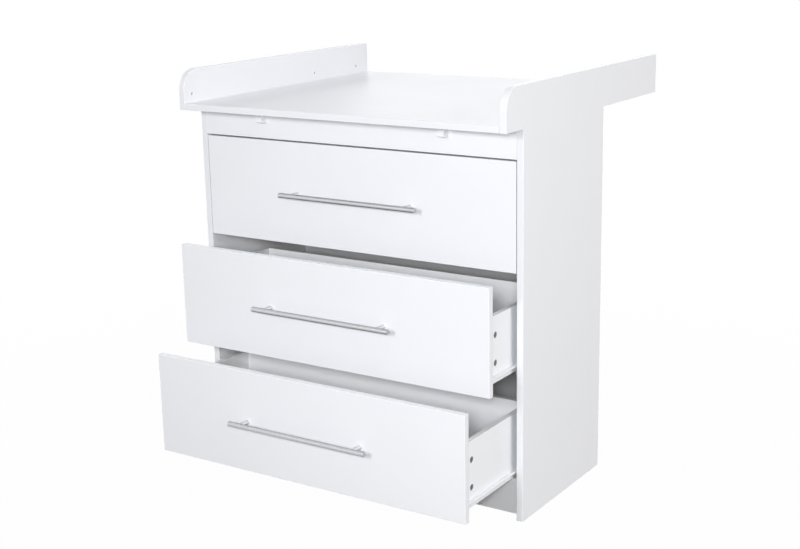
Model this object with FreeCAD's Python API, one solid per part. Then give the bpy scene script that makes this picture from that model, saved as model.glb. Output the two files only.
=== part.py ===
import FreeCAD, Part
import os

# A free-standing changing dresser. A carcass of coated chipboard carries three drawers with
# inset fronts on roller runners, and a deep changing deck with two side guards lies on top.
# Millimetres. The origin is on the floor under the middle of the plinth board, +X is to the
# right, +Y towards the back and +Z up. The drawers stand as pictured: the top one is shut, the
# middle one half out and the lower one out to its stop.

Vector = FreeCAD.Vector

# Board stock
board = 16.0                  # carcass, fronts, deck and guards
box_board = 12.0              # sides and back of a drawer box
hardboard = 3.0               # cabinet back and drawer bottoms
edge_ease = 1.2               # rounding of the edges that show
fit = 0.1                     # radial room round a pin, screw or dowel
seat_gap = 0.3                # room where two pieces pass or stop against each other

# Cabinet
cabinet_width = 900.0
cabinet_depth = 400.0
cabinet_height = 904.0        # floor to the underside of the deck
plinth_height = 78.0          # floor to the underside of the bottom panel
plinth_recess = 33.0          # front of the side panels to the face of the plinth
fascia_height = 67.0          # board over the top drawer
back_inset = 11.0             # rear edge of a side panel to the back panel
back_groove = 6.0             # depth of the groove that holds the back panel

# Drawer fronts
front_gap = 4.0               # between two fronts, and under the fascia
front_side_gap = 2.0          # front to side panel
behind_front = 2.0            # back of a shut front to the bottom panel and the runners

# Drawer boxes
slide_gap = 12.5              # box side to side panel, taken up by the runners
box_height = 152.0
box_past_runner = 10.0        # the box is this much longer than its runners
box_lift = 24.0               # bottom of the front to the bottom of the box
groove_lift = 9.0             # bottom of the box to the groove for its bottom panel
groove_depth = 5.0
groove_room = 0.3             # groove over the thickness of the hardboard

# How far each drawer stands out, and how far its runners let it go
drawer_out = {"lower": 226.0, "middle": 120.0, "top": 0.0}
drawer_travel = 226.0

# Bar handles
bar_radius = 6.0
bar_length = 384.0
bar_standoff = 32.0           # face of the front to the axis of the bar
bar_chamfer = 0.8
post_radius = 5.0
post_spacing = 320.0

# Roller runners, of bent steel sheet
runner_length = 300.0
sheet = 1.2
bend_radius = 1.5             # outside of a bend
wrap_width = 11.0             # leg under the side of the box
wrap_height = 17.0            # web on the side of the box
shelf_width = 9.7             # flange that runs on the cabinet's roller
shelf_lip = 3.0
channel_drop = 7.8            # bottom of the box to the bottom of the channel
channel_head = 2.2            # top of the drawer's runner to the top of the channel
channel_foot_width = 10.5
channel_roof_width = 8.0
channel_lip = 3.4
stop_height = 4.0             # tabs in the channel's floor that stop the rear roller

# Runner rollers
roller_radius = 9.0
roller_width = 5.0
roller_inset = 12.0           # end of a runner to the axis of its roller
roller_lip_gap = 0.5          # rear roller to the lip of its channel
roller_hub_wall = 1.0         # hub of a roller round its collar
roller_rim = 2.0
roller_web_sink = 1.0         # the web between hub and rim lies this deep
tread_chamfer = 0.5
axle_radius = 2.0
rivet_radius = 3.4
rivet_head = 0.8
collar_radius = 3.0

# Cam fittings and dowels
cam_radius = 7.5
cam_depth = 12.5              # in a board of the carcass
box_cam_depth = 9.5           # in the side of a drawer box
cam_setback = 34.0            # end of the board to the middle of the cam
box_cam_setback = 30.0
cam_edge = 50.0               # edge of a panel to its first fitting
box_cam_spacing = 64.0
hole_pitch = 32.0             # cam to dowel on a narrow board
cam_sink = 0.8                # face of the board to the face of the cam
cam_cross_reach = 0.6         # arms of the cross recess, as a share of the cam's radius
bolt_thread_radius = 2.9
bolt_thread_length = 11.0
bolt_radius = 2.3
bolt_head_radius = 3.4
bolt_head_length = 3.0
bolt_bore_radius = 3.7
cross_width = 1.6             # cross recess in the face of a cam
cross_depth = 1.4
dowel_radius = 4.0
dowel_length = 30.0
dowel_in_side = 10.0

# Screws
screw_radius = 1.75
runner_screw_length = 12.0
runner_screw_head = 1.0
runner_screw_front = 37.0     # front end of a runner to its first screw
runner_screw_middle = 165.0   # front end of a runner to its second screw
runner_screw_rear = 17.0      # rear end of a runner to its third screw
screw_head_radius = 3.5
box_screw_radius = 2.0
box_screw_length = 35.0
box_screw_head = 2.4
box_screw_edge = 34.0         # bottom and top edge of the box to its rear screws
wrap_screw_front = 60.0       # front end of a drawer's runner to its first screw
wrap_screw_rear = 70.0        # rear end of a drawer's runner to its second screw
wrap_screw_length = 9.0
handle_screw_radius = 2.0
handle_screw_reach = 9.0      # length inside the post
handle_screw_room = 1.0       # bore of the post past the end of its screw
handle_head_radius = 4.0
handle_head = 2.6

# Changing deck and guards
deck_depth = 785.0
deck_overhang = 77.0          # in front of the cabinet
deck_nose = 3.0               # rounding of the deck's front edge
guard_height = 96.0
guard_corner = 50.0           # rounded upper front corner
guard_hole_radius = 3.5
guard_hole_depth = 10.0
guard_hole_height = 36.5
guard_hole_front = 29.0        # front of the guard to its first hole
guard_hole_middle = 531.0      # front of the guard to its second hole
guard_hole_rear = 57.0         # rear of the guard to its third hole
deck_cam_inset = 60.0          # end of the deck to a cam
deck_cam_middle = 392.0        # front of the deck to its middle cam
deck_dowel_inset = 124.0       # end of the deck to a dowel

# Blocks under the deck that keep it from sliding off
block_width = 18.0
block_height = 28.0
block_depth = 20.0
block_chamfer = 2.0
block_offset = 254.0          # middle of the dresser to the middle of a block
block_screw_length = 26.0
block_screw_sink = 13.0

# Worked out from the sizes above
drawer_names = ("lower", "middle", "top")
box_length = runner_length + box_past_runner
runner_screw_places = (runner_screw_front, runner_screw_middle, runner_length - runner_screw_rear)
wrap_screw_places = (wrap_screw_front, runner_length - wrap_screw_rear)
drawer_pitch = (cabinet_height - plinth_height - fascia_height) / len(drawer_names)
front_height = drawer_pitch - front_gap
half_width = cabinet_width / 2
inner_half = half_width - board
front_y = -plinth_recess - board / 2
rear_y = front_y + cabinet_depth
back_panel_y = rear_y - back_inset - hardboard
box_front_y = front_y + board               # front end of a shut drawer's box
box_outer = inner_half - slide_gap
box_inner = box_outer - box_board
deck_front = front_y - deck_overhang
deck_rear = deck_front + deck_depth
deck_cam_places = (deck_cam_inset, deck_cam_middle, deck_depth - deck_cam_inset)
deck_dowel_places = (deck_dowel_inset, deck_depth - deck_dowel_inset)
guard_hole_places = (guard_hole_front, guard_hole_middle, deck_depth - guard_hole_rear)
guard_z = cabinet_height
groove_height = hardboard + groove_room
channel_y = box_front_y + behind_front
drawer_runner_y = box_front_y + behind_front / 2
shelf_z = wrap_height - sheet               # underside of the drawer runner's shelf
front_roller_y = channel_y + roller_inset
front_roller_z = shelf_z - seat_gap - roller_radius
rear_roller_y = drawer_runner_y + runner_length - roller_inset
rear_roller_z = -channel_drop + sheet + seat_gap + roller_radius
channel_face = slide_gap - sheet            # inner face of the channel's web

down = Vector(0, 0, -1)
back = Vector(0, 1, 0)
right = Vector(1, 0, 0)


# ---------------------------------------------------------------- helpers

def block(x0, x1, y0, y1, z0, z1):
    return Part.makeBox(x1 - x0, y1 - y0, z1 - z0, Vector(x0, y0, z0))


def mirrored(shape):
    return shape.mirror(Vector(0, 0, 0), right)


def both_sides(shapes):
    return list(shapes) + [mirrored(shape) for shape in shapes]


def cut_all(shape, tools):
    return shape.cut(tools) if tools else shape


def rounded(shape, radius, wanted):
    """Rounds the edges of a shape for which wanted(edge) is true."""
    edges = [edge for edge in shape.Edges if wanted(edge)]
    return shape.makeFillet(radius, edges)


def on_plane(edge, axis, value):
    box = edge.BoundBox
    spans = {"x": (box.XMin, box.XMax), "y": (box.YMin, box.YMax), "z": (box.ZMin, box.ZMax)}
    low, high = spans[axis]
    return abs(low - value) < 0.01 and abs(high - value) < 0.01


def turned(profile):
    """A solid of revolution about the X axis from (x, radius) points."""
    wire = Part.makePolygon([Vector(x, 0, r) for x, r in profile + profile[:1]])
    return Part.Face(wire).revolve(Vector(0, 0, 0), right, 360)


def rod(radius, start, length, direction):
    return Part.makeCylinder(radius, length, start, direction)


def placed(shape, point, along, out):
    """Moves a fitting drawn along +X with its face to -Z: +X goes along, -Z faces out."""
    through = -out
    turn = FreeCAD.Rotation(along, through.cross(along), through, "XZY")
    copy = shape.copy()
    copy.Placement = FreeCAD.Placement(point, turn)
    return copy


def save(name, *shapes):
    solids = [solid for shape in shapes for solid in shape.Solids]
    shape = solids[0] if len(solids) == 1 else Part.makeCompound(solids)
    shape.exportStep("parts/" + name + ".step")
    volume = sum(solid.Volume for solid in solids) / 1000
    print("%-34s %2d solids %9.2f cm3 valid %s" % (name, len(solids), volume, shape.isValid()))


# ---------------------------------------------------------------- fittings, drawn along +X

def cam_lock(thickness, depth, setback):
    """Cam housing in its bore, with the slot that takes the bolt's head and a cross recess."""
    face_z = cam_sink - thickness / 2
    body = Part.makeCylinder(cam_radius - fit, depth - cam_sink, Vector(setback, 0, face_z))
    slot_start = Vector(setback - cam_radius, 0, 0)
    slot = rod(bolt_bore_radius, slot_start, cam_radius + bolt_head_length, right)
    arm = cam_radius * cam_cross_reach
    recess_z = face_z + cross_depth
    cross = [block(setback - arm, setback + arm, -cross_width / 2, cross_width / 2, face_z, recess_z),
             block(setback - cross_width / 2, setback + cross_width / 2, -arm, arm, face_z, recess_z)]
    return body.cut([slot] + cross)


def cam_bolt(setback):
    """Bolt that is threaded into one board and held by the cam in the other."""
    head_end = setback + bolt_head_length / 2
    head_start = head_end - bolt_head_length
    return turned([(-bolt_thread_length, 0), (-bolt_thread_length, bolt_thread_radius),
                   (0, bolt_thread_radius), (0, bolt_radius), (head_start, bolt_radius),
                   (head_start, bolt_head_radius), (head_end, bolt_head_radius), (head_end, 0)])


def cam_cuts(thickness, depth, setback):
    """What a cam joint takes out of the board that holds the cam."""
    bore = Part.makeCylinder(cam_radius, depth, Vector(setback, 0, -thickness / 2))
    return [bore, rod(bolt_bore_radius, Vector(0, 0, 0), setback, right)]


def bolt_hole():
    return rod(bolt_thread_radius + fit, Vector(-bolt_thread_length - seat_gap, 0, 0),
               bolt_thread_length + seat_gap, right)


def dowel():
    return rod(dowel_radius, Vector(-dowel_in_side, 0, 0), dowel_length, right)


def dowel_hole():
    return rod(dowel_radius + fit, Vector(-dowel_in_side - seat_gap, 0, 0),
               dowel_length + 2 * seat_gap, right)


def flat_screw(length, radius, head_radius, head):
    """Screw with a thin flat head that starts at x = 0 and stands back to -head."""
    return turned([(-head, 0), (-head, head_radius), (0, head_radius), (0, radius),
                   (length - radius, radius), (length, 0)])


def sunk_screw(length, radius, head_radius, head):
    """Countersunk screw with its head flush at x = 0."""
    return turned([(0, 0), (0, head_radius), (head, radius), (length - radius, radius), (length, 0)])


# ---------------------------------------------------------------- carcass joints

def carcass_joints():
    """Board name to the cams and dowels at its right end: points, and the way the cams face."""
    middle = board / 2
    panel_y = (box_front_y + cam_edge, back_panel_y - cam_edge)
    panel_mid = sum(panel_y) / 2
    top_z = cabinet_height - middle
    bottom_z = plinth_height + middle
    fascia_z = cabinet_height - fascia_height / 2
    plinth_z = plinth_height / 2
    deck_z = guard_z + middle
    fascia_y = front_y + middle
    plinth_y = front_y + plinth_recess + middle
    half_pitch = hole_pitch / 2
    return {
        "top_panel": ([(y, top_z) for y in panel_y], [(panel_mid, top_z)], down),
        "bottom_panel": ([(y, bottom_z) for y in panel_y], [(panel_mid, bottom_z)], down),
        "fascia": ([(fascia_y, fascia_z - half_pitch)], [(fascia_y, fascia_z + half_pitch)], back),
        "plinth": ([(plinth_y, plinth_z + half_pitch)], [(plinth_y, plinth_z - half_pitch)], back),
        "deck": ([(deck_front + y, deck_z) for y in deck_cam_places],
                 [(deck_front + y, deck_z) for y in deck_dowel_places], down),
    }


joints = carcass_joints()


def at_joint(shape, place, out):
    y, z = place
    return placed(shape, Vector(inner_half, y, z), -right, out)


def board_end_cuts(name):
    """Bores in the two ends of a carcass board."""
    cams, dowels, out = joints[name]
    cuts = cam_cuts(board, cam_depth, cam_setback)
    tools = [at_joint(cut, place, out) for place in cams for cut in cuts]
    tools += [at_joint(dowel_hole(), place, out) for place in dowels]
    return both_sides(tools)


def side_cuts(names):
    """Bores in the right side panel or guard for the boards named."""
    tools = []
    for name in names:
        cams, dowels, out = joints[name]
        tools += [at_joint(bolt_hole(), place, out) for place in cams]
        tools += [at_joint(dowel_hole(), place, out) for place in dowels]
    return tools


def joint_pieces(piece, which):
    """The same fitting at every joint: which is 0 for cams and their bolts, 1 for dowels."""
    pieces = []
    for name in joints:
        out = joints[name][2]
        pieces += [at_joint(piece, place, out) for place in joints[name][which]]
    return both_sides(pieces)


# ---------------------------------------------------------------- carcass boards

def drawer_z(name):
    """Bottom of a drawer's front."""
    return plinth_height + drawer_names.index(name) * drawer_pitch


def runner_screw_holes():
    """Bores for the runner screws in the right side panel."""
    holes = []
    for name in drawer_names:
        z = drawer_z(name) + box_lift + rear_roller_z
        for place in runner_screw_places:
            start = Vector(inner_half, channel_y + place, z)
            holes.append(rod(screw_radius + fit, start, runner_screw_length + seat_gap, right))
    return holes


def side_panel():
    panel = block(inner_half, half_width, front_y, rear_y, 0, cabinet_height)

    def front_edge(edge):
        return on_plane(edge, "y", front_y) and edge.Length > cabinet_depth

    panel = rounded(panel, edge_ease, front_edge)
    groove = block(inner_half, inner_half + back_groove, back_panel_y,
                   back_panel_y + hardboard + groove_room, plinth_height, cabinet_height)
    holes = side_cuts(("top_panel", "bottom_panel", "fascia", "plinth")) + runner_screw_holes()
    return panel.cut([groove] + holes)


def back_panel():
    reach = inner_half + back_groove - seat_gap
    return block(-reach, reach, back_panel_y, back_panel_y + hardboard,
                 plinth_height, cabinet_height)


def top_panel():
    panel = block(-inner_half, inner_half, box_front_y, back_panel_y,
                  cabinet_height - board, cabinet_height)
    return cut_all(panel, board_end_cuts("top_panel"))


def bottom_panel():
    panel = block(-inner_half, inner_half, box_front_y + behind_front, back_panel_y,
                  plinth_height, plinth_height + board)
    return cut_all(panel, board_end_cuts("bottom_panel"))


def fascia():
    panel = block(-inner_half, inner_half, front_y, front_y + board,
                  cabinet_height - fascia_height, cabinet_height)
    return cut_all(panel, board_end_cuts("fascia"))


def plinth():
    face_y = front_y + plinth_recess
    panel = block(-inner_half, inner_half, face_y, face_y + board, 0, plinth_height)
    return cut_all(panel, board_end_cuts("plinth"))


# ---------------------------------------------------------------- changing deck

def block_places():
    """Middle x and the y of the face that meets the cabinet, for the front and rear blocks."""
    front_face = front_y - seat_gap
    rear_face = back_panel_y + hardboard + seat_gap
    return [(block_offset, front_face, -1), (block_offset, rear_face, 1)]


def deck():
    panel = block(-inner_half, inner_half, deck_front, deck_rear, guard_z, guard_z + board)

    def front_edge(edge, height):
        return on_plane(edge, "y", deck_front) and on_plane(edge, "z", height)

    panel = rounded(panel, deck_nose, lambda edge: front_edge(edge, guard_z + board))
    panel = rounded(panel, edge_ease, lambda edge: front_edge(edge, guard_z))
    pilots = [rod(screw_radius + fit, Vector(x, y + way * block_depth / 2, guard_z),
                  block_screw_length - block_height + block_screw_sink + seat_gap, -down)
              for x, y, way in block_places()]
    return cut_all(panel, board_end_cuts("deck") + both_sides(pilots))


def guard():
    """Right guard: an upright board with a large rounded upper front corner."""
    top_z = guard_z + guard_height
    centre = Vector(inner_half, deck_front + guard_corner, top_z - guard_corner)
    arc_start = Vector(inner_half, deck_front, centre.z)
    arc_end = Vector(inner_half, centre.y, top_z)
    slant = guard_corner * 0.5 ** 0.5
    arc = Part.Arc(arc_start, Vector(inner_half, centre.y - slant, centre.z + slant), arc_end)
    corners = [arc_end, Vector(inner_half, deck_rear, top_z), Vector(inner_half, deck_rear, guard_z),
               Vector(inner_half, deck_front, guard_z), arc_start]
    sides = [Part.LineSegment(a, b).toShape() for a, b in zip(corners, corners[1:])]
    outline = Part.Wire([arc.toShape()] + sides)
    panel = Part.Face(outline).extrude(right * board)

    def upper_edge(edge):
        flat = on_plane(edge, "x", inner_half) or on_plane(edge, "x", half_width)
        return flat and not on_plane(edge, "z", guard_z) and not on_plane(edge, "y", deck_rear)

    panel = rounded(panel, edge_ease, upper_edge)
    holes = [rod(guard_hole_radius, Vector(inner_half, deck_front + place, guard_z + guard_hole_height),
                 guard_hole_depth, right) for place in guard_hole_places]
    return panel.cut(holes + side_cuts(("deck",)))


def stop_blocks():
    """Plastic blocks screwed under the deck, before the fascia and behind the back panel."""
    blocks = []
    for x, face_y, way in block_places():
        foot = guard_z - block_height
        far_y = face_y + way * block_depth
        near_y = far_y - way * block_chamfer
        points = [(face_y, guard_z), (face_y, foot), (near_y, foot),
                  (far_y, foot + block_chamfer), (far_y, guard_z)]
        outline = Part.makePolygon([Vector(x - block_width / 2, y, z) for y, z in points + points[:1]])
        solid = Part.Face(outline).extrude(right * block_width)
        screw_y = face_y + way * block_depth / 2
        hole = rod(screw_radius + fit, Vector(x, screw_y, foot), block_height, -down)
        sink = rod(screw_head_radius + fit, Vector(x, screw_y, foot), block_screw_sink, -down)
        blocks.append(solid.cut([hole, sink]))
    return both_sides(blocks)


def block_screws():
    screw = flat_screw(block_screw_length, screw_radius, screw_head_radius, runner_screw_head)
    screws = []
    for x, face_y, way in block_places():
        point = Vector(x, face_y + way * block_depth / 2, guard_z - block_height + block_screw_sink)
        screws.append(placed(screw, point, -down, back))
    return both_sides(screws)


# ---------------------------------------------------------------- roller runners

def sheet_profile(points, side):
    """Bent sheet in the XZ plane from a path of (x, z, corner radius), the metal left of it for 1."""
    edges = []
    start = Vector(points[0][0], 0, points[0][1])
    for before, corner, after in zip(points, points[1:], points[2:]):
        tip = Vector(corner[0], 0, corner[1])
        radius = corner[2]
        if radius:
            towards = (Vector(before[0], 0, before[1]) - tip).normalize()
            onward = (Vector(after[0], 0, after[1]) - tip).normalize()
            enter = tip + towards * radius
            leave = tip + onward * radius
            mid = tip + (towards + onward) * radius * (1 - 0.5 ** 0.5)
            edges.append(Part.LineSegment(start, enter).toShape())
            edges.append(Part.Arc(enter, mid, leave).toShape())
            start = leave
        else:
            edges.append(Part.LineSegment(start, tip).toShape())
            start = tip
    edges.append(Part.LineSegment(start, Vector(points[-1][0], 0, points[-1][1])).toShape())
    return Part.Wire(edges).makeOffset2D(side * sheet, 0, True, True)


def riveted_axle(root, tip):
    """Axle along X that is riveted into a runner's web at root, with a flat head past tip."""
    way = 1 if tip > root else -1
    inner = root + way * (abs(tip - root) - roller_width - seat_gap)
    return turned([(root, 0), (root, collar_radius), (inner, collar_radius), (inner, axle_radius),
                   (tip + way * fit, axle_radius), (tip + way * fit, rivet_radius),
                   (tip + way * (fit + rivet_head), rivet_radius), (tip + way * (fit + rivet_head), 0)])


def drawer_roller_span():
    """Where the rear roller lies across the gap, from the side of the box."""
    near = slide_gap - channel_foot_width + sheet + roller_lip_gap
    return near, near + roller_width


def cabinet_roller_span():
    """Where the front roller lies across the gap: inside the lip of the drawer's runner."""
    far = shelf_width - sheet - seat_gap
    return far - roller_width, far


def drawer_runner(base_z):
    """Right runner on a drawer: it wraps the lower edge of the box and rolls on its shelf."""
    path = [(-wrap_width, 0, 0), (0, 0, 0), (0, wrap_height, bend_radius),
            (shelf_width, wrap_height, bend_radius), (shelf_width, wrap_height - shelf_lip, 0)]
    strip = sheet_profile(path, -1).extrude(back * runner_length)
    strip.translate(Vector(box_outer, drawer_runner_y, base_z))
    axle = riveted_axle(sheet, drawer_roller_span()[1] + seat_gap)
    axle.translate(Vector(box_outer, rear_roller_y, base_z + rear_roller_z))
    holes = [rod(screw_radius + fit, point, sheet, -down) for point in wrap_screw_points(base_z)]
    return strip.cut(holes).fuse(axle).removeSplitter()


def channel_stops(base_z):
    """Tabs in the channel's floor that catch the rear roller at both ends of its travel."""
    low, high = drawer_roller_span()
    floor = base_z - channel_drop + sheet - fit
    rise = rear_roller_z + channel_drop - sheet + fit - stop_height
    reach = (roller_radius ** 2 - rise ** 2) ** 0.5 + seat_gap
    rear_stop = rear_roller_y + reach
    front_stop = rear_roller_y - drawer_travel - reach - sheet
    return [block(box_outer + low, box_outer + high, y, y + sheet, floor, floor + stop_height)
            for y in (front_stop, rear_stop)]


def cabinet_runner(base_z):
    """Right channel on the side panel, open to the drawer, with the front roller's axle."""
    foot = -channel_drop
    roof = wrap_height + channel_head
    lip_x = slide_gap - channel_foot_width
    path = [(lip_x, foot + channel_lip, 0), (lip_x, foot, bend_radius), (slide_gap, foot, bend_radius),
            (slide_gap, roof, bend_radius), (slide_gap - channel_roof_width, roof, 0)]
    strip = sheet_profile(path, 1).extrude(back * runner_length)
    strip.translate(Vector(box_outer, channel_y, base_z))
    axle = riveted_axle(channel_face, cabinet_roller_span()[0] - seat_gap)
    axle.translate(Vector(box_outer, front_roller_y, base_z + front_roller_z))
    screw_z = base_z + rear_roller_z
    holes = [rod(screw_radius + fit, Vector(box_outer + channel_face, channel_y + place, screw_z),
                 sheet, right) for place in runner_screw_places]
    return strip.cut(holes).fuse([axle] + channel_stops(base_z)).removeSplitter()


def roller(span):
    """Nylon roller about X with a chamfered tread and a recessed web."""
    near, far = span
    bore = axle_radius + fit
    hub = collar_radius + roller_hub_wall
    rim = roller_radius - roller_rim
    web = near + roller_web_sink
    edge = roller_radius - tread_chamfer
    return turned([(near, bore), (near, hub), (web, hub), (web, rim), (near, rim), (near, edge),
                   (near + tread_chamfer, roller_radius), (far - tread_chamfer, roller_radius),
                   (far, edge), (far, bore)])


def roller_pair(span, y, z):
    wheel = roller(span)
    wheel.translate(Vector(box_outer, y, z))
    return both_sides([wheel])


def runner_screws():
    length = runner_screw_length + sheet
    screw = flat_screw(length, screw_radius, screw_head_radius, runner_screw_head)
    screws = []
    for name in drawer_names:
        z = drawer_z(name) + box_lift + rear_roller_z
        for place in runner_screw_places:
            point = Vector(box_outer + channel_face, channel_y + place, z)
            screws.append(placed(screw, point, right, down))
    return both_sides(screws)


# ---------------------------------------------------------------- drawers, drawn shut

def box_cam_points(base_z):
    """Where the bolts of the right box side meet the back of the front."""
    middle_z = base_z + box_height / 2
    x = box_outer - box_board / 2
    return [Vector(x, box_front_y, middle_z + half * box_cam_spacing / 2) for half in (-1, 1)]


def at_box_joints(shapes, base_z):
    return [placed(shape, point, back, right) for point in box_cam_points(base_z) for shape in shapes]


def rear_screw_points(base_z):
    y = box_front_y + box_length - box_board / 2
    return [Vector(box_outer, y, z) for z in (base_z + box_screw_edge, base_z + box_height - box_screw_edge)]


def rear_screw_holes(base_z):
    holes = []
    for point in rear_screw_points(base_z):
        sink = turned([(0, 0), (0, screw_head_radius + fit), (box_screw_head, box_screw_radius + fit),
                       (box_screw_head, 0)])
        holes.append(placed(sink, point, -right, down))
        holes.append(rod(box_screw_radius + fit, point, box_screw_length + seat_gap, -right))
    return holes


def wrap_screw_points(base_z):
    return [Vector(box_outer - box_board / 2, drawer_runner_y + place, base_z - sheet)
            for place in wrap_screw_places]


def bottom_groove(base_z):
    """Groove round the inside of the box for its bottom panel, as one cutting block."""
    z = base_z + groove_lift
    reach = box_inner + groove_depth
    rear = box_front_y + box_length - box_board + groove_depth
    return block(-reach, reach, box_front_y - groove_depth, rear, z, z + groove_height)


def drawer_front(base_z, front_z):
    reach = inner_half - front_side_gap
    panel = block(-reach, reach, front_y, box_front_y, front_z, front_z + front_height)
    panel = rounded(panel, edge_ease, lambda edge: on_plane(edge, "y", front_y))
    tools = both_sides(at_box_joints([bolt_hole()], base_z)) + [bottom_groove(base_z)]
    for x in (-post_spacing / 2, post_spacing / 2):
        start = Vector(x, front_y, front_z + front_height / 2)
        tools.append(rod(handle_screw_radius + fit, start, board, back))
    return panel.cut(tools)


def box_side(base_z):
    panel = block(box_inner, box_outer, box_front_y, box_front_y + box_length,
                  base_z, base_z + box_height)
    tools = at_box_joints(cam_cuts(box_board, box_cam_depth, box_cam_setback), base_z)
    tools += rear_screw_holes(base_z) + [bottom_groove(base_z)]
    tools += [rod(screw_radius + fit, point, wrap_screw_length + seat_gap, -down)
              for point in wrap_screw_points(base_z)]
    return panel.cut(tools)


def box_back(base_z):
    rear = box_front_y + box_length
    panel = block(-box_inner, box_inner, rear - box_board, rear, base_z, base_z + box_height)
    return panel.cut(both_sides(rear_screw_holes(base_z)) + [bottom_groove(base_z)])


def box_bottom(base_z):
    z = base_z + groove_lift
    reach = box_inner + groove_depth - seat_gap
    rear = box_front_y + box_length - box_board + groove_depth - seat_gap
    return block(-reach, reach, box_front_y - groove_depth + seat_gap, rear, z, z + hardboard)


def box_fixings(base_z):
    """Cams, their bolts, the rear screws and the screws of the drawer's runners."""
    cam = cam_lock(box_board, box_cam_depth, box_cam_setback)
    pieces = at_box_joints([cam, cam_bolt(box_cam_setback)], base_z)
    rear = sunk_screw(box_screw_length, box_screw_radius, screw_head_radius, box_screw_head)
    pieces += [placed(rear, point, -right, down) for point in rear_screw_points(base_z)]
    wrap = flat_screw(wrap_screw_length, screw_radius, screw_head_radius, runner_screw_head)
    pieces += [placed(wrap, point, -down, back) for point in wrap_screw_points(base_z)]
    return both_sides(pieces)


def handle_axis_y():
    return front_y - bar_standoff


def handle_bar(front_z):
    end = bar_length / 2
    bar = turned([(-end, 0), (-end, bar_radius - bar_chamfer), (-end + bar_chamfer, bar_radius),
                  (end - bar_chamfer, bar_radius), (end, bar_radius - bar_chamfer), (end, 0)])
    bar.translate(Vector(0, handle_axis_y(), front_z + front_height / 2))
    return bar


def handle_posts(front_z):
    """Posts with a coped end that fits round the bar, bored for their screws."""
    z = front_z + front_height / 2
    post = rod(post_radius, Vector(post_spacing / 2, front_y, z), bar_standoff, -back)
    thread = rod(handle_screw_radius + fit, Vector(post_spacing / 2, front_y, z),
                 handle_screw_reach + handle_screw_room, -back)
    coping = rod(bar_radius, Vector(-bar_length, handle_axis_y(), z), 2 * bar_length, right)
    return both_sides([post.cut([thread, coping])])


def handle_screws(front_z):
    length = board + handle_screw_reach
    screw = flat_screw(length, handle_screw_radius, handle_head_radius, handle_head)
    point = Vector(post_spacing / 2, box_front_y, front_z + front_height / 2)
    return both_sides([placed(screw, point, -back, down)])


def save_drawer(name):
    """Writes a drawer's pieces, pulled out as far as it stands in the picture."""
    front_z = drawer_z(name)
    base_z = front_z + box_lift
    side = box_side(base_z)
    runner = drawer_runner(base_z)
    pieces = {
        "drawer_front": [drawer_front(base_z, front_z)],
        "drawer_side_right": [side],
        "drawer_side_left": [mirrored(side)],
        "drawer_back": [box_back(base_z)],
        "drawer_bottom": [box_bottom(base_z)],
        "drawer_runner_right": [runner],
        "drawer_runner_left": [mirrored(runner)],
        "drawer_fixings": box_fixings(base_z),
        "handle_bar": [handle_bar(front_z)],
        "handle_posts": handle_posts(front_z),
        "handle_screws": handle_screws(front_z),
        "rear_rollers": roller_pair(drawer_roller_span(), rear_roller_y, base_z + rear_roller_z),
    }
    for piece, shapes in pieces.items():
        for shape in shapes:
            shape.translate(Vector(0, -drawer_out[name], 0))
        save(name + "_" + piece, *shapes)


def save_cabinet_runners(name):
    base_z = drawer_z(name) + box_lift
    channel = cabinet_runner(base_z)
    save(name + "_cabinet_runner_right", channel)
    save(name + "_cabinet_runner_left", mirrored(channel))
    rollers = roller_pair(cabinet_roller_span(), front_roller_y, base_z + front_roller_z)
    save(name + "_front_rollers", *rollers)


# ---------------------------------------------------------------- the whole dresser

os.makedirs("parts", exist_ok=True)

side = side_panel()
save("side_panel_right", side)
save("side_panel_left", mirrored(side))
save("back_panel", back_panel())
save("top_panel", top_panel())
save("bottom_panel", bottom_panel())
save("front_fascia", fascia())
save("plinth_board", plinth())
save("changing_deck", deck())
right_guard = guard()
save("guard_right", right_guard)
save("guard_left", mirrored(right_guard))
save("deck_stop_blocks", *stop_blocks())
save("cabinet_cam_locks", *joint_pieces(cam_lock(board, cam_depth, cam_setback), 0))
save("cabinet_cam_bolts", *joint_pieces(cam_bolt(cam_setback), 0))
save("cabinet_dowels", *joint_pieces(dowel(), 1))
save("cabinet_screws", *(runner_screws() + block_screws()))
for drawer in drawer_names:
    save_cabinet_runners(drawer)
    save_drawer(drawer)
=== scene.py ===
import math

import bpy
from mathutils import Matrix, Vector

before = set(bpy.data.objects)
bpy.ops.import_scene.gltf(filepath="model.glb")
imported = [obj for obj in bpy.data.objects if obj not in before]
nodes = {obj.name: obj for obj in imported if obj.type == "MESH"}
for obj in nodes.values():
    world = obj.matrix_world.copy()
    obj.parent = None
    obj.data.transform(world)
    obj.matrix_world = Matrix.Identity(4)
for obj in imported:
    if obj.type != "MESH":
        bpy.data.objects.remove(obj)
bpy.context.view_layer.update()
bpy.ops.object.select_all(action='DESELECT')
print("frame loaded:", len(nodes), "nodes")


def linear(hexColour):
    # sRGB hex to the linear values that the shaders take
    parts = [int(hexColour[i:i + 2], 16) / 255 for i in (1, 3, 5)]
    return [c / 12.92 if c <= 0.04045 else ((c + 0.055) / 1.055) ** 2.4 for c in parts] + [1.0]


def addNode(tree, kind, settings=None, **links):
    # a node with its settings; links name its inputs (i3 is input 3) and give a value or an output
    node = tree.nodes.new(kind)
    for name, value in (settings or {}).items():
        setattr(node, name, value)
    for name, value in links.items():
        key = int(name[1:]) if name[1:].isdigit() else name.replace("_", " ")
        socket = node.inputs[key]
        if isinstance(value, bpy.types.NodeSocket):
            tree.links.new(value, socket)
        else:
            socket.default_value = value
    return node


def newMaterial(name):
    material = bpy.data.materials.new(name)
    material.use_nodes = True
    tree = material.node_tree
    tree.nodes.clear()
    place = addNode(tree, "ShaderNodeTexCoord")
    return material, tree, place


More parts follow.
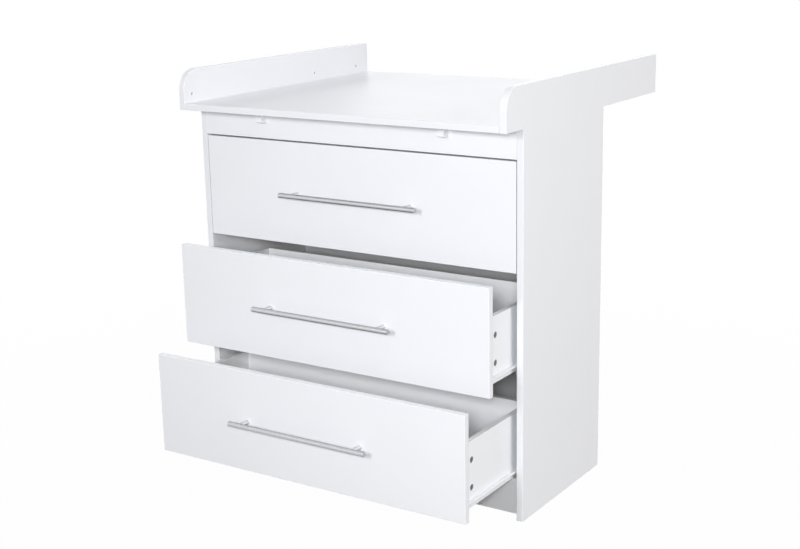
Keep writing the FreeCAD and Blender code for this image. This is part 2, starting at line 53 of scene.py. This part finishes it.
def finishMaterial(tree, shader):
    addNode(tree, "ShaderNodeOutputMaterial", Surface=shader.outputs[0])


# camera: stands where the photograph was taken from
camera = {
    "place": (1.833, -2.640, 1.344),
    "headingDeg": 33.26,          # turned left from straight ahead
    "tiltDeg": -14.41,            # below level
    "rollDeg": -1.15,
    "lensMm": 62.41,
    "sensorMm": 36.0,
}


def makeCamera():
    bpy.ops.object.camera_add()
    cam = bpy.context.object
    cam.name = "photoCamera"
    cam.data.sensor_width = camera["sensorMm"]
    cam.data.lens = camera["lensMm"]
    levelDeg = 90                 # a camera that isn't turned looks straight down
    turn = (Matrix.Rotation(math.radians(camera["headingDeg"]), 4, 'Z')
            @ Matrix.Rotation(math.radians(levelDeg + camera["tiltDeg"]), 4, 'X')
            @ Matrix.Rotation(math.radians(camera["rollDeg"]), 4, 'Z'))
    cam.matrix_world = Matrix.Translation(Vector(camera["place"])) @ turn
    bpy.context.scene.camera = cam
    print("camera placed")


# stage: a plain white floor and a white surround, lit by soft boxes
stage = {
    "floorSize": 40.0,
    "floorDrop": 0.0005,          # just under the feet, so that the two share no plane
    "floorColour": "#8c8c8c",     # grey, so that it throws little light back up
    "whiteNear": 0.985,           # share of plain white near the dresser, the rest takes its shadow
    "nearRadius": 0.9,
    "farRadius": 2.2,             # from here on the floor shows plain white
    "surroundColour": "#fbfdff",
    "surroundStrength": 0.34,
    "seenColour": "#ffffff",      # what the camera sees of the floor and the surround
}
softBoxes = {
    "key": {"place": (0.4, -3.4, 1.7), "aim": (0.0, 0.0, 0.5),
            "size": 0.6, "watts": 45, "colour": "#fdfeff"},
    "camera": {"place": (1.9, -2.9, 1.5), "aim": (0.0, 0.0, 0.5),
               "size": 0.5, "watts": 56, "colour": "#fdfeff"},
    "right": {"place": (4.2, 0.2, 1.6), "aim": (0.0, 0.1, 0.5),
              "size": 2.6, "watts": 74, "colour": "#fffcfb"},
    "left": {"place": (-3.8, 0.9, 1.7), "aim": (0.0, 0.1, 0.5),
             "size": 2.6, "watts": 90, "colour": "#ffffff"},
    "rear": {"place": (0.5, 3.0, 3.0), "aim": (0.0, 0.1, 0.9),
             "size": 2.4, "watts": 24, "colour": "#fbfcff"},
    "lowRear": {"place": (-0.9, 3.0, 2.4), "aim": (0.0, 0.1, 0.8),
                "size": 2.4, "watts": 13, "colour": "#fbfcff"},
}


def whiteToCamera(tree):
    # 1 for rays from the camera, in reflections and through clear things, so they all see plain white
    rays = addNode(tree, "ShaderNodeLightPath").outputs
    seen = addNode(tree, "ShaderNodeMath", {"operation": "MAXIMUM"},
                   i0=rays["Is Camera Ray"], i1=rays["Is Glossy Ray"])
    return addNode(tree, "ShaderNodeMath", {"operation": "MAXIMUM"},
                   i0=seen.outputs[0], i1=rays["Is Transmission Ray"])


def makeFloor():
    bpy.ops.mesh.primitive_plane_add(size=stage["floorSize"], location=(0, 0, -stage["floorDrop"]))
    floor = bpy.context.object
    floor.name = "studioFloor"
    material, tree, place = newMaterial("studioFloorPaper")
    away = addNode(tree, "ShaderNodeVectorMath", {"operation": "LENGTH"}, i0=place.outputs["Object"])
    whiteHere = addNode(tree, "ShaderNodeMapRange", Value=away.outputs["Value"],
                        From_Min=stage["nearRadius"], From_Max=stage["farRadius"],
                        To_Min=stage["whiteNear"], To_Max=1.0)
    share = addNode(tree, "ShaderNodeMath", {"operation": "MULTIPLY"},
                    i0=whiteToCamera(tree).outputs[0], i1=whiteHere.outputs[0])
    paper = addNode(tree, "ShaderNodeBsdfDiffuse", Color=linear(stage["floorColour"]))
    white = addNode(tree, "ShaderNodeEmission", Color=linear(stage["seenColour"]), Strength=1.0)
    finishMaterial(tree, addNode(tree, "ShaderNodeMixShader", i0=share.outputs[0],
                                 i1=paper.outputs[0], i2=white.outputs[0]))
    floor.data.materials.append(material)
    print("floor laid")


def makeSurround():
    world = bpy.data.worlds.new("whiteSurround")
    bpy.context.scene.world = world
    world.use_nodes = True
    tree = world.node_tree
    tree.nodes.clear()
    soft = addNode(tree, "ShaderNodeBackground", Color=linear(stage["surroundColour"]),
                   Strength=stage["surroundStrength"])
    white = addNode(tree, "ShaderNodeBackground", Color=linear(stage["seenColour"]), Strength=1.0)
    mix = addNode(tree, "ShaderNodeMixShader", i0=whiteToCamera(tree).outputs[0],
                  i1=soft.outputs[0], i2=white.outputs[0])
    addNode(tree, "ShaderNodeOutputWorld", Surface=mix.outputs[0])
    bpy.context.scene.view_settings.view_transform = 'Standard'
    print("surround set")


def makeLamps():
    for name, box in softBoxes.items():
        bpy.ops.object.light_add(type='AREA', location=box["place"])
        lamp = bpy.context.object
        lamp.name = name + "SoftBox"
        lamp.data.shape = 'SQUARE'
        lamp.data.size = box["size"]
        lamp.data.energy = box["watts"]
        lamp.data.color = linear(box["colour"])[:3]
        aim = Vector(box["aim"]) - Vector(box["place"])
        lamp.rotation_euler = aim.to_track_quat('-Z', 'Y').to_euler()
    print("lamps set:", len(softBoxes))


# a noise pattern seldom leaves this range, so a change spread over it shows both its ends
noiseRange = {"From_Min": 0.3, "From_Max": 0.7}

# melamine faced chipboard: resin paper pressed over the board gives a white satin face with a fine
# pearl grain, and the plastic band that is ironed on its edges is smoother and a shade greyer
coatedBoard = {
    "colour": "#edeef1",
    "cloudColour": "#ebecef",     # faint unevenness of the pressed paper
    "bandColour": "#e9eaed",
    "faceFrom": 0.9,              # 1 looks straight out of the board: from here on it is all face
    "bandUpTo": 0.6,              # and up to here all edge band
    "cloudMm": 160,
    "grainMm": 2.5,               # the real pearl is about 0.5 mm, drawn coarser so that it shows
    "grainDepthMm": 0.006,
    "grainStrength": 0.7,
    "roughness": 0.31,
    "roughnessSpread": 0.02,      # each way
    "bandRoughness": 0.22,
    "ior": 1.5,
}


def coatedBoardMaterial(name, thinAxis):
    look = coatedBoard
    material, tree, place = newMaterial(name)
    facing = addNode(tree, "ShaderNodeSeparateXYZ", Vector=place.outputs["Normal"])
    onFace = addNode(tree, "ShaderNodeMath", {"operation": "ABSOLUTE"}, i0=facing.outputs[thinAxis])
    band = addNode(tree, "ShaderNodeMapRange", Value=onFace.outputs[0],
                   From_Min=look["faceFrom"], From_Max=look["bandUpTo"])
    cloud = addNode(tree, "ShaderNodeTexNoise", Vector=place.outputs["Object"],
                    Scale=1000 / look["cloudMm"], Detail=3.0)
    grain = addNode(tree, "ShaderNodeTexNoise", Vector=place.outputs["Object"],
                    Scale=1000 / look["grainMm"], Detail=1.0)
    face = addNode(tree, "ShaderNodeMix", {"data_type": 'RGBA'}, i0=cloud.outputs["Fac"],
                   i6=linear(look["colour"]), i7=linear(look["cloudColour"]))
    colour = addNode(tree, "ShaderNodeMix", {"data_type": 'RGBA'}, i0=band.outputs[0],
                     i6=face.outputs[2], i7=linear(look["bandColour"]))
    gloss = addNode(tree, "ShaderNodeMapRange", Value=cloud.outputs["Fac"],
                    To_Min=look["roughness"] - look["roughnessSpread"],
                    To_Max=look["roughness"] + look["roughnessSpread"], **noiseRange)
    rough = addNode(tree, "ShaderNodeMix", {"data_type": 'FLOAT'}, i0=band.outputs[0],
                    i2=gloss.outputs[0], i3=look["bandRoughness"])
    height = addNode(tree, "ShaderNodeMath", {"operation": "MULTIPLY"},
                     i0=grain.outputs["Fac"], i1=onFace.outputs[0])
    bump = addNode(tree, "ShaderNodeBump", Height=height.outputs[0],
                   Strength=look["grainStrength"], Distance=look["grainDepthMm"] / 1000)
    finishMaterial(tree, addNode(tree, "ShaderNodeBsdfPrincipled", Base_Color=colour.outputs[2],
                                 IOR=look["ior"], Roughness=rough.outputs[0],
                                 Normal=bump.outputs[0]))
    return material


# paper foil wrapped round the thin boards of the drawer boxes: duller than melamine and a shade
# lighter, with faint lines along the board from the rollers that lay the foil
foilBoard = {
    "colour": "#f1f3f5",
    "lineColour": "#eef0f2",
    "lineMm": 2.5,
    "lineStretch": 0.02,
    "lineDepthMm": 0.012,
    "lineStrength": 0.5,
    "roughness": 0.46,
    "roughnessSpread": 0.04,      # each way
    "ior": 1.47,
}


def foilBoardMaterial(name, alongAxis):
    look = foilBoard
    material, tree, place = newMaterial(name)
    stretch = [1.0, 1.0, 1.0]
    stretch[alongAxis] = look["lineStretch"]
    along = addNode(tree, "ShaderNodeMapping", Vector=place.outputs["Object"], Scale=stretch)
    lines = addNode(tree, "ShaderNodeTexNoise", Vector=along.outputs[0],
                    Scale=1000 / look["lineMm"], Detail=2.0)
    colour = addNode(tree, "ShaderNodeMix", {"data_type": 'RGBA'}, i0=lines.outputs["Fac"],
                     i6=linear(look["colour"]), i7=linear(look["lineColour"]))
    gloss = addNode(tree, "ShaderNodeMapRange", Value=lines.outputs["Fac"],
                    To_Min=look["roughness"] - look["roughnessSpread"],
                    To_Max=look["roughness"] + look["roughnessSpread"], **noiseRange)
    bump = addNode(tree, "ShaderNodeBump", Height=lines.outputs["Fac"],
                   Strength=look["lineStrength"], Distance=look["lineDepthMm"] / 1000)
    finishMaterial(tree, addNode(tree, "ShaderNodeBsdfPrincipled", Base_Color=colour.outputs[2],
                                 IOR=look["ior"], Roughness=gloss.outputs[0],
                                 Normal=bump.outputs[0]))
    return material


# hardboard of pressed wood fibre: lacquered white on the side that faces into the cabinet or the
# drawer, bare on the other, where the fibres and the print of the press screen show
hardboard = {
    "lacquerColour": "#e6e8ea",
    "lacquerRoughness": 0.42,
    "bareFrom": 0.5,              # 1 looks straight out of the bare side, and past this it is bare
    "fibreColour": "#a5805a",
    "darkFibreColour": "#83603f",
    "fibreRoughness": 0.85,
    "fibreMm": 6.0,
    "fibreStretch": 0.25,
    "fibreRange": (0.35, 0.65),   # narrower than other noise, for crisper fibres
    "screenMm": 3.0,              # mesh of the press screen
    "screenDepthMm": 0.12,
    "screenStrength": 1.0,
    "ior": 1.5,
}


def hardboardMaterial(name, bareAxis, bareSide):
    look = hardboard
    material, tree, place = newMaterial(name)
    facing = addNode(tree, "ShaderNodeSeparateXYZ", Vector=place.outputs["Normal"])
    outward = addNode(tree, "ShaderNodeMath", {"operation": "MULTIPLY"},
                      i0=facing.outputs[bareAxis], i1=bareSide)
    bare = addNode(tree, "ShaderNodeMath", {"operation": "GREATER_THAN"},
                   i0=outward.outputs[0], i1=look["bareFrom"])
    longWay = addNode(tree, "ShaderNodeMapping", Vector=place.outputs["Object"],
                      Scale=(look["fibreStretch"], 1.0, 1.0))
    fibres = addNode(tree, "ShaderNodeTexNoise", Vector=longWay.outputs[0],
                     Scale=1000 / look["fibreMm"], Detail=6.0, Roughness=0.75, Distortion=0.6)
    sharper = addNode(tree, "ShaderNodeMapRange", Value=fibres.outputs["Fac"],
                      From_Min=look["fibreRange"][0], From_Max=look["fibreRange"][1])
    wood = addNode(tree, "ShaderNodeMix", {"data_type": 'RGBA'}, i0=sharper.outputs[0],
                   i6=linear(look["fibreColour"]), i7=linear(look["darkFibreColour"]))
    colour = addNode(tree, "ShaderNodeMix", {"data_type": 'RGBA'}, i0=bare.outputs[0],
                     i6=linear(look["lacquerColour"]), i7=wood.outputs[2])
    rough = addNode(tree, "ShaderNodeMix", {"data_type": 'FLOAT'}, i0=bare.outputs[0],
                    i2=look["lacquerRoughness"], i3=look["fibreRoughness"])
    # the press screen's wires are sine ridges that cross, both ways over the board
    turns = 2 * math.pi * 1000 / look["screenMm"]
    ways = addNode(tree, "ShaderNodeSeparateXYZ", Vector=place.outputs["Object"]).outputs
    wires = []
    for axis, way in enumerate(ways):
        if axis != bareAxis:
            angle = addNode(tree, "ShaderNodeMath", {"operation": "MULTIPLY"}, i0=way, i1=turns)
            wires.append(addNode(tree, "ShaderNodeMath", {"operation": "SINE"}, i0=angle.outputs[0]))
    crossed = addNode(tree, "ShaderNodeMath", {"operation": "MAXIMUM"},
                      i0=wires[0].outputs[0], i1=wires[1].outputs[0])
    screen = addNode(tree, "ShaderNodeMath", {"operation": "MULTIPLY"},
                     i0=crossed.outputs[0], i1=bare.outputs[0])
    bump = addNode(tree, "ShaderNodeBump", Height=screen.outputs[0],
                   Strength=look["screenStrength"], Distance=look["screenDepthMm"] / 1000)
    finishMaterial(tree, addNode(tree, "ShaderNodeBsdfPrincipled", Base_Color=colour.outputs[2],
                                 IOR=look["ior"], Roughness=rough.outputs[0],
                                 Normal=bump.outputs[0]))
    return material


# what the small parts are made of; each pattern is a mottle in colour, gloss and height
# epoxy powder coated steel: baked powder flows to a satin white with a slight orange peel
# injection moulded nylon: milky off-white, a little light goes into it
# injection moulded polypropylene: white, lets more light in, with the fine grain of an eroded mould
# die cast zinc: dull blue-grey metal with a cloudy skin from the mould
# zinc plated steel: brighter, cool, with patchy gloss from the plating bath
smallParts = {
    "epoxyCoatedSteel": {"colours": ("#eeeff1", "#eaebee"), "roughness": (0.32, 0.40),
                         "mm": 3.5, "depthMm": 0.03, "metallic": 0.0, "ior": 1.5},
    "mouldedNylon": {"colours": ("#e6e5df", "#dcdbd4"), "roughness": (0.38, 0.5),
                     "mm": 5.0, "depthMm": 0.01, "metallic": 0.0, "ior": 1.53,
                     "inside": 0.15, "insideMm": 2},
    "mouldedPolypropylene": {"colours": ("#eff1f3", "#eaecee"), "roughness": (0.40, 0.5),
                             "mm": 0.9, "depthMm": 0.03, "metallic": 0.0, "ior": 1.49,
                             "inside": 0.5, "insideMm": 6},
    "dieCastZinc": {"colours": ("#8f9194", "#6f7175"), "roughness": (0.36, 0.52),
                    "mm": 1.6, "depthMm": 0.03, "metallic": 1.0},
    "zincPlatedSteel": {"colours": ("#c3c7cb", "#a9adb3"), "roughness": (0.28, 0.36),
                        "mm": 2.0, "depthMm": 0.01, "metallic": 1.0},
}
mottleStrength = 0.8              # of the bump, alike in all the small parts


def smallPartMaterial(name):
    look = smallParts[name]
    material, tree, place = newMaterial(name)
    mottle = addNode(tree, "ShaderNodeTexNoise", Vector=place.outputs["Object"],
                     Scale=1000 / look["mm"], Detail=3.0, Roughness=0.6)
    spread = addNode(tree, "ShaderNodeMapRange", Value=mottle.outputs["Fac"], **noiseRange)
    colour = addNode(tree, "ShaderNodeMix", {"data_type": 'RGBA'}, i0=spread.outputs[0],
                     i6=linear(look["colours"][0]), i7=linear(look["colours"][1]))
    gloss = addNode(tree, "ShaderNodeMapRange", Value=spread.outputs[0],
                    To_Min=look["roughness"][0], To_Max=look["roughness"][1])
    bump = addNode(tree, "ShaderNodeBump", Height=mottle.outputs["Fac"],
                   Strength=mottleStrength, Distance=look["depthMm"] / 1000)
    shader = addNode(tree, "ShaderNodeBsdfPrincipled", Base_Color=colour.outputs[2],
                     Metallic=look["metallic"], Roughness=gloss.outputs[0],
                     Normal=bump.outputs[0])
    if "ior" in look:             # a metal keeps the default
        shader.inputs["IOR"].default_value = look["ior"]
    if "inside" in look:
        shader.inputs["Subsurface Weight"].default_value = look["inside"]
        shader.inputs["Subsurface Scale"].default_value = look["insideMm"] / 1000
        shader.inputs["Subsurface Radius"].default_value = (1.0, 1.0, 1.0)     # milky, not skin
    finishMaterial(tree, shader)
    return material


# brushed stainless steel: a belt leaves fine lines round the bar and round its posts, and the
# metal darkens where it turns away from the eye
brushedSteel = {
    "barColours": ("#c8c9cb", "#babbbe"),
    "postSheenColours": ("#e4e5e6", "#d9dadc"),     # painted lighter than the bar, a painted sheen for the bright reflections the posts show
    "edgeTint": "#b6b8bb",
    "roughness": (0.28, 0.34),
    "anisotropy": 0.8,
    "highlightTurn": 0.25,        # of a full turn, from round the part to along it
    "lineMm": 0.9,                # belt lines are about 0.2 mm apart, drawn coarser so that they show
    "lineStretch": 0.04,
    "lineDepthMm": 0.004,
    "lineStrength": 0.6,
}


def brushedSteelMaterial(name, longAxis, colours):
    look = brushedSteel
    material, tree, place = newMaterial(name)
    stretch = [look["lineStretch"]] * 3
    stretch[longAxis] = 1.0
    ringed = addNode(tree, "ShaderNodeMapping", Vector=place.outputs["Object"], Scale=stretch)
    lines = addNode(tree, "ShaderNodeTexNoise", Vector=ringed.outputs[0],
                    Scale=1000 / look["lineMm"], Detail=3.0)
    spread = addNode(tree, "ShaderNodeMapRange", Value=lines.outputs["Fac"], **noiseRange)
    colour = addNode(tree, "ShaderNodeMix", {"data_type": 'RGBA'}, i0=spread.outputs[0],
                     i6=linear(colours[0]), i7=linear(colours[1]))
    gloss = addNode(tree, "ShaderNodeMapRange", Value=spread.outputs[0],
                    To_Min=look["roughness"][0], To_Max=look["roughness"][1])
    bump = addNode(tree, "ShaderNodeBump", Height=lines.outputs["Fac"],
                   Strength=look["lineStrength"], Distance=look["lineDepthMm"] / 1000)
    # the belt lines stretch a highlight along the part and keep it narrow across
    roundPart = addNode(tree, "ShaderNodeTangent",
                        {"direction_type": 'RADIAL', "axis": "XYZ"[longAxis]})
    finishMaterial(tree, addNode(tree, "ShaderNodeBsdfPrincipled", Base_Color=colour.outputs[2],
                                 Metallic=1.0, Roughness=gloss.outputs[0],
                                 Normal=bump.outputs[0], Anisotropic=look["anisotropy"],
                                 Anisotropic_Rotation=look["highlightTurn"],
                                 Tangent=roundPart.outputs[0],
                                 Specular_Tint=linear(look["edgeTint"])))
    return material


# turned beech: pinkish brown with short dark flecks along the dowel
beech = {
    "colours": ("#cfa97e", "#b98f63"),
    "roughness": 0.55,
    "fleckMm": 1.2,
    "fleckStretch": 0.15,
    "fleckDepthMm": 0.05,
    "fleckStrength": 0.8,
    "ior": 1.5,
}


def beechMaterial(name):
    look = beech
    material, tree, place = newMaterial(name)
    along = addNode(tree, "ShaderNodeMapping", Vector=place.outputs["Object"],
                    Scale=(look["fleckStretch"], 1.0, 1.0))
    flecks = addNode(tree, "ShaderNodeTexNoise", Vector=along.outputs[0],
                     Scale=1000 / look["fleckMm"], Detail=4.0)
    colour = addNode(tree, "ShaderNodeMix", {"data_type": 'RGBA'}, i0=flecks.outputs["Fac"],
                     i6=linear(look["colours"][0]), i7=linear(look["colours"][1]))
    bump = addNode(tree, "ShaderNodeBump", Height=flecks.outputs["Fac"],
                   Strength=look["fleckStrength"], Distance=look["fleckDepthMm"] / 1000)
    finishMaterial(tree, addNode(tree, "ShaderNodeBsdfPrincipled", Base_Color=colour.outputs[2],
                                 IOR=look["ior"], Roughness=look["roughness"],
                                 Normal=bump.outputs[0]))
    return material


def dress():
    x, y, z = 0, 1, 2
    uprightBoard = coatedBoardMaterial("melamineBoardUpright", x)
    frontBoard = coatedBoardMaterial("melamineBoardFront", y)
    flatBoard = coatedBoardMaterial("melamineBoardFlat", z)
    foilSide = foilBoardMaterial("foilWrappedSide", y)
    foilBack = foilBoardMaterial("foilWrappedBack", x)
    backBoard = hardboardMaterial("lacqueredHardboardBack", y, 1.0)
    bottomBoard = hardboardMaterial("lacqueredHardboardBottom", z, -1.0)
    small = {name: smallPartMaterial(name) for name in smallParts}
    bar = brushedSteelMaterial("brushedSteelBar", x, brushedSteel["barColours"])
    # the posts take the lighter colours, a painted sheen
    post = brushedSteelMaterial("brushedSteelPost", y, brushedSteel["postSheenColours"])
    dowel = beechMaterial("turnedBeech")
    # the first ending that fits a node's name gives its material
    finishes = (
        (("side_panel_right", "side_panel_left", "guard_right", "guard_left"), uprightBoard),
        (("front_fascia", "plinth_board", "drawer_front"), frontBoard),
        (("top_panel", "bottom_panel", "changing_deck"), flatBoard),
        (("drawer_side_right", "drawer_side_left"), foilSide),
        (("drawer_back",), foilBack),
        (("back_panel",), backBoard),
        (("drawer_bottom",), bottomBoard),
        (("runner_right", "runner_left"), small["epoxyCoatedSteel"]),
        (("rollers",), small["mouldedNylon"]),
        (("deck_stop_blocks",), small["mouldedPolypropylene"]),
        (("cam_locks", "drawer_fixings"), small["dieCastZinc"]),
        (("cam_bolts", "screws"), small["zincPlatedSteel"]),
        (("handle_bar",), bar),
        (("handle_posts",), post),
        (("dowels",), dowel),
    )
    for name, node in nodes.items():
        material = next(material for endings, material in finishes if name.endswith(endings))
        node.data.materials.clear()
        node.data.materials.append(material)
    print("materials assigned")


makeCamera()
makeFloor()
makeSurround()
makeLamps()
dress()
